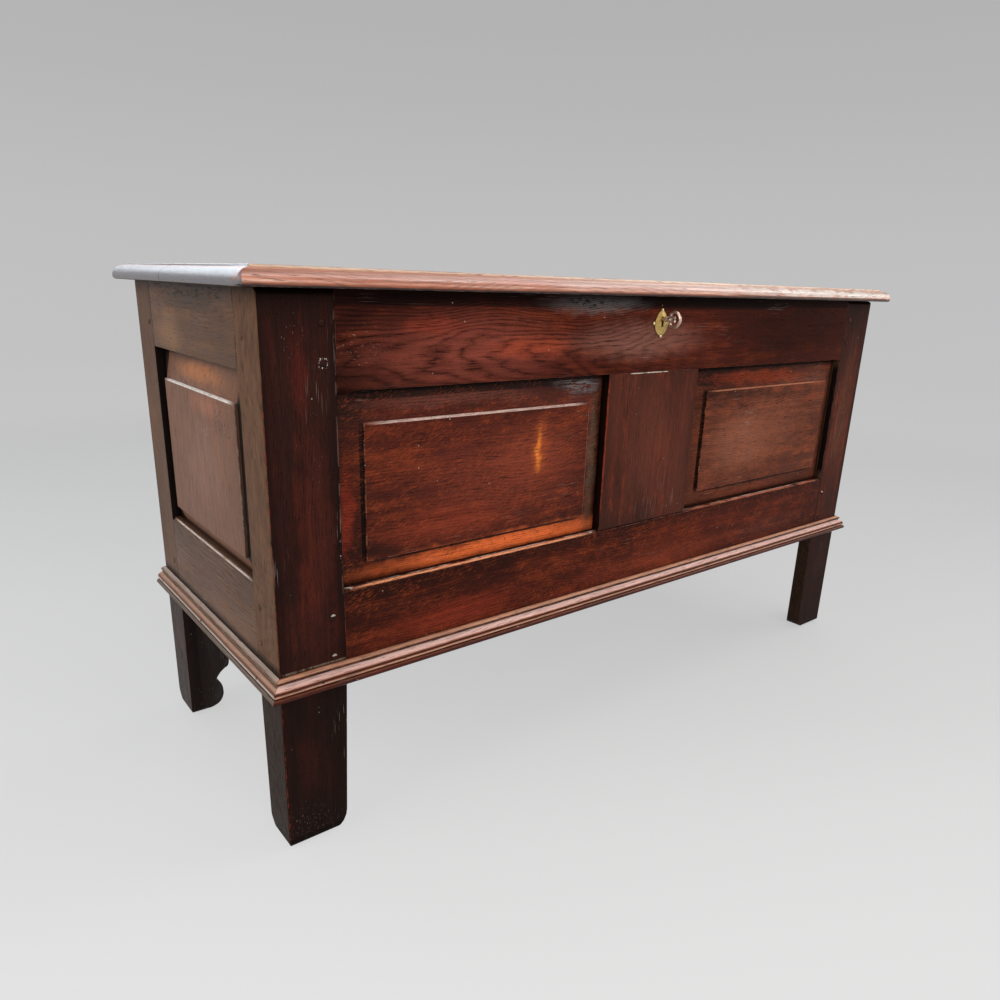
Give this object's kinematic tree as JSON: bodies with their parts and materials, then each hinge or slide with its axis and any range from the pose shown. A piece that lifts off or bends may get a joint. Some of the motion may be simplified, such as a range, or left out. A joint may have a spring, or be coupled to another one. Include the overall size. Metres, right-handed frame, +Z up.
{
  "type": "joined oak coffer",
  "caption": "Panelled oak storage chest on stile feet with a moulded hinged lid, fielded panels, a base moulding and a box lock",
  "frame": {"origin": "on the floor, under the middle of the closed chest's bounding box, key included", "axes": "X runs along the front from left to right, Y from front to back, Z up; the front faces -Y"},
  "size_m": [1.27, 0.497, 0.694],
  "materials": {
    "polished_oak": "dark waxed oak",
    "dry_oak": "unpolished oak",
    "wrought_iron": "forged, dark",
    "steel": "worn bright",
    "brass": "old lacquer, rubbed"
  },
  "bodies": {
    "carcass": {"front_left_stile": "polished_oak", "front_right_stile": "polished_oak", "rear_left_stile": "polished_oak", "rear_right_stile": "polished_oak", "front_top_rail": "polished_oak", "front_bottom_rail": "polished_oak", "front_muntin": "polished_oak", "front_left_panel": "polished_oak", "front_right_panel": "polished_oak", "left_top_rail": "polished_oak", "left_bottom_rail": "polished_oak", "left_panel": "polished_oak", "right_top_rail": "polished_oak", "right_bottom_rail": "polished_oak", "right_panel": "polished_oak", "front_base_moulding": "polished_oak", "left_base_moulding": "polished_oak", "right_base_moulding": "polished_oak", "front_peg_1": "polished_oak", "front_peg_2": "polished_oak", "front_peg_3": "polished_oak", "front_peg_4": "polished_oak", "front_peg_5": "polished_oak", "front_peg_6": "polished_oak", "front_peg_7": "polished_oak", "front_peg_8": "polished_oak", "back_top_rail": "dry_oak", "back_bottom_rail": "dry_oak", "back_muntin": "dry_oak", "back_left_panel": "dry_oak", "back_right_panel": "dry_oak", "floor_board_1": "dry_oak", "floor_board_2": "dry_oak", "floor_board_3": "dry_oak", "floor_board_4": "dry_oak", "floor_board_5": "dry_oak", "left_hinge_back_leaf": "wrought_iron", "right_hinge_back_leaf": "wrought_iron", "left_hinge_pin": "wrought_iron", "right_hinge_pin": "wrought_iron", "lock_plate": "wrought_iron", "lock_case": "wrought_iron", "drill_pin": "wrought_iron", "escutcheon": "brass", "escutcheon_pin_1": "brass", "escutcheon_pin_2": "brass", "escutcheon_pin_3": "brass", "escutcheon_pin_4": "brass"},
    "lid": {"lid_front_board": "polished_oak", "lid_rear_board": "polished_oak", "lid_left_batten": "dry_oak", "lid_right_batten": "dry_oak", "left_hinge_lid_leaf": "wrought_iron", "right_hinge_lid_leaf": "wrought_iron", "lock_staple": "wrought_iron"},
    "key": {"key": "steel"},
    "bolt": {"lock_bolt": "wrought_iron"}
  },
  "joints": [
    {"name": "lid_hinge", "type": "hinge", "parent": "carcass", "child": "lid", "pos_m": [0, 0.2423, 0.6667], "axis": [-1, 0, 0], "range_deg": [0, 105]},
    {"name": "key_turn", "type": "hinge", "parent": "carcass", "child": "key", "pos_m": [0, -0.1915, 0.641], "axis": [0, 1, 0], "range_deg": [0, 360]},
    {"name": "bolt_throw", "type": "slide", "parent": "carcass", "child": "bolt", "axis": [1, 0, 0], "range_m": [0, 0.012]}
  ],
  "couplings": [
    {"joint": "key_turn", "follows": "bolt_throw", "rad_per_m": 523.59}
  ]
}
